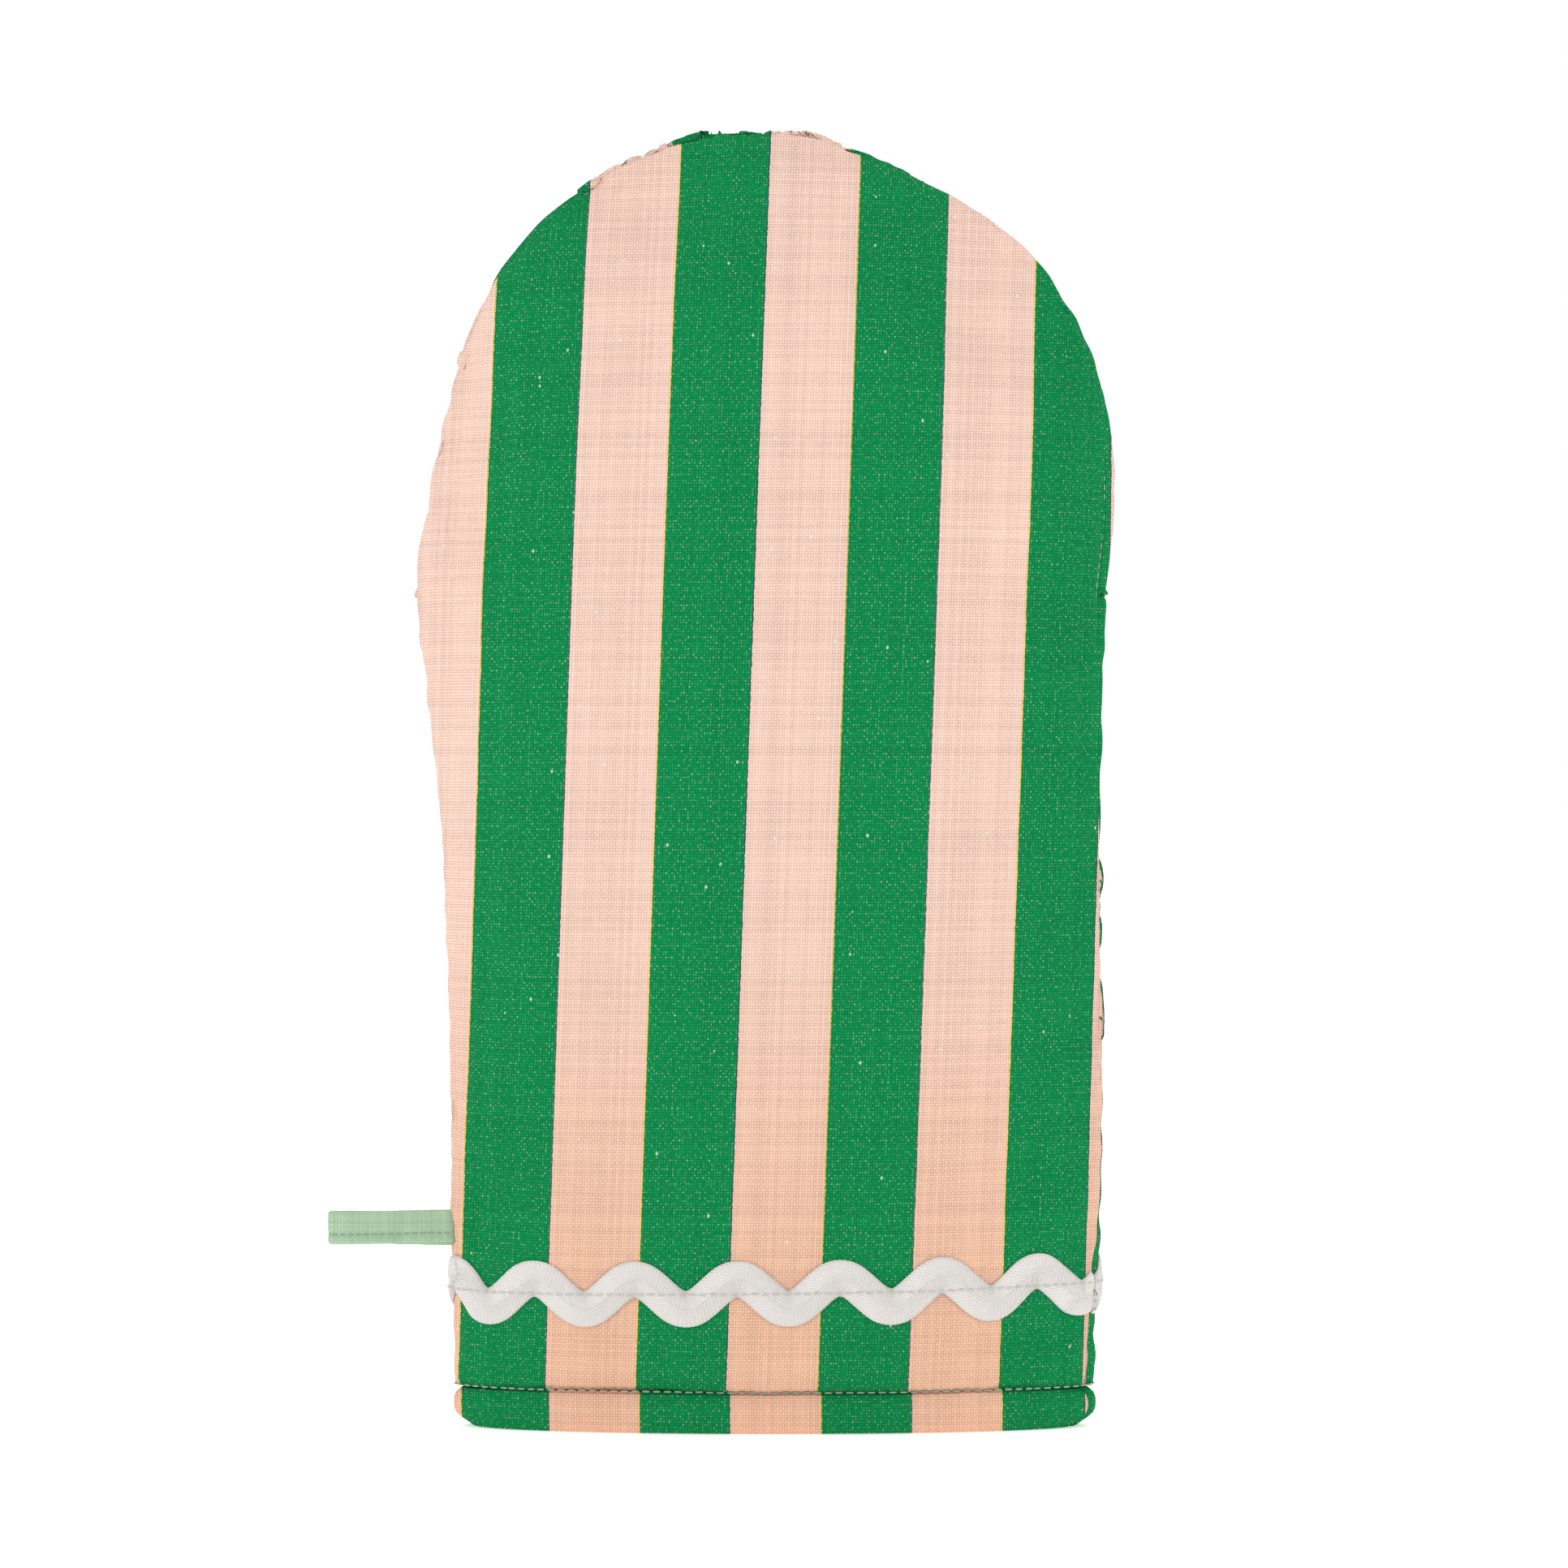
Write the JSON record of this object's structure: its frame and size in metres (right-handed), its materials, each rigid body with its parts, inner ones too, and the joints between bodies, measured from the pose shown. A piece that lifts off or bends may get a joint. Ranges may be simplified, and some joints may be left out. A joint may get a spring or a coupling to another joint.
{
  "type": "oven mitt",
  "caption": "Padded striped oven mitt with rounded fingertips, an opposed thumb on the palm side, a wavy braid round the cuff and a side hanging loop.",
  "frame": {"origin": "centre of the cuff opening, on the plane that the hem stands on", "axes": "+Z from the cuff to the fingertips, +X across the hand away from the hanging loop, -Y the back of the hand, +Y the palm and thumb"},
  "size_m": [0.2015, 0.0977, 0.3301],
  "materials": {
    "striped_canvas": "printed plain weave, green and pink stripes",
    "wadding": "loose cotton wadding",
    "lining": "plain cotton",
    "white_braid": "woven wavy braid",
    "sage_tape": "folded herringbone tape",
    "thread": "spun thread"
  },
  "bodies": {
    "hand": {"back_cover_hand": "striped_canvas", "back_cover_knuckle": "striped_canvas", "back_lining_hand": "lining", "back_lining_knuckle": "lining", "back_wadding_hand": "wadding", "back_wadding_knuckle": "wadding", "cuff_hem_back": "striped_canvas", "cuff_hem_palm": "striped_canvas", "hem_stitches_back": "thread", "hem_stitches_palm": "thread", "loop_tail": "sage_tape", "mouth_cover_fold": "striped_canvas", "mouth_cover_hand": "striped_canvas", "mouth_cover_knuckle": "striped_canvas", "mouth_cover_thumb_root": "striped_canvas", "mouth_lining_fold": "lining", "mouth_lining_hand": "lining", "mouth_lining_knuckle": "lining", "mouth_lining_thumb_root": "lining", "mouth_wadding_fold": "wadding", "mouth_wadding_hand": "wadding", "mouth_wadding_knuckle": "wadding", "mouth_wadding_thumb_root": "wadding", "palm_cover_hand": "striped_canvas", "palm_cover_thumb_root": "striped_canvas", "palm_lining_hand": "lining", "palm_lining_thumb_root": "lining", "palm_wadding_hand": "wadding", "palm_wadding_thumb_root": "wadding", "rickrack_back": "white_braid", "rickrack_palm": "white_braid", "rickrack_stitches_back": "thread", "rickrack_stitches_palm": "thread", "seam_thread_hand": "thread"},
    "fingers": {"back_cover_fingers": "striped_canvas", "back_lining_fingers": "lining", "back_wadding_fingers": "wadding", "mouth_cover_fingers": "striped_canvas", "mouth_lining_fingers": "lining", "mouth_wadding_fingers": "wadding", "seam_thread_fingers": "thread"},
    "thumb": {"mouth_cover_thumb": "striped_canvas", "mouth_lining_thumb": "lining", "mouth_wadding_thumb": "wadding", "palm_cover_thumb": "striped_canvas", "palm_lining_thumb": "lining", "palm_wadding_thumb": "wadding"},
    "loop": {"hanging_loop": "sage_tape", "loop_stitches": "thread"}
  },
  "joints": [
    {"name": "finger_bend", "type": "hinge", "parent": "hand", "child": "fingers", "pos_m": [0, -0.006, 0.244], "axis": [-1, 0, 0], "range_deg": [-10, 40], "stiffness_Nm_per_rad": 0.1, "deforming": ["back_cover_knuckle", "back_lining_knuckle", "back_wadding_knuckle", "mouth_cover_knuckle", "mouth_lining_knuckle", "mouth_wadding_knuckle"]},
    {"name": "thumb_open", "type": "hinge", "parent": "hand", "child": "thumb", "pos_m": [0, 0.0185, 0.211], "axis": [-1, 0, 0], "range_deg": [0, 30], "stiffness_Nm_per_rad": 0.1, "springref_deg": -4.58, "deforming": ["mouth_cover_fold", "mouth_cover_thumb_root", "mouth_lining_fold", "mouth_lining_thumb_root", "mouth_wadding_fold", "mouth_wadding_thumb_root", "palm_cover_thumb_root", "palm_lining_thumb_root", "palm_wadding_thumb_root"]},
    {"name": "loop_swing", "type": "hinge", "parent": "hand", "child": "loop", "pos_m": [-0.0846, 0, 0.05055], "axis": [0, 0, 1], "range_deg": [-55, 55], "stiffness_Nm_per_rad": 0.002}
  ]
}
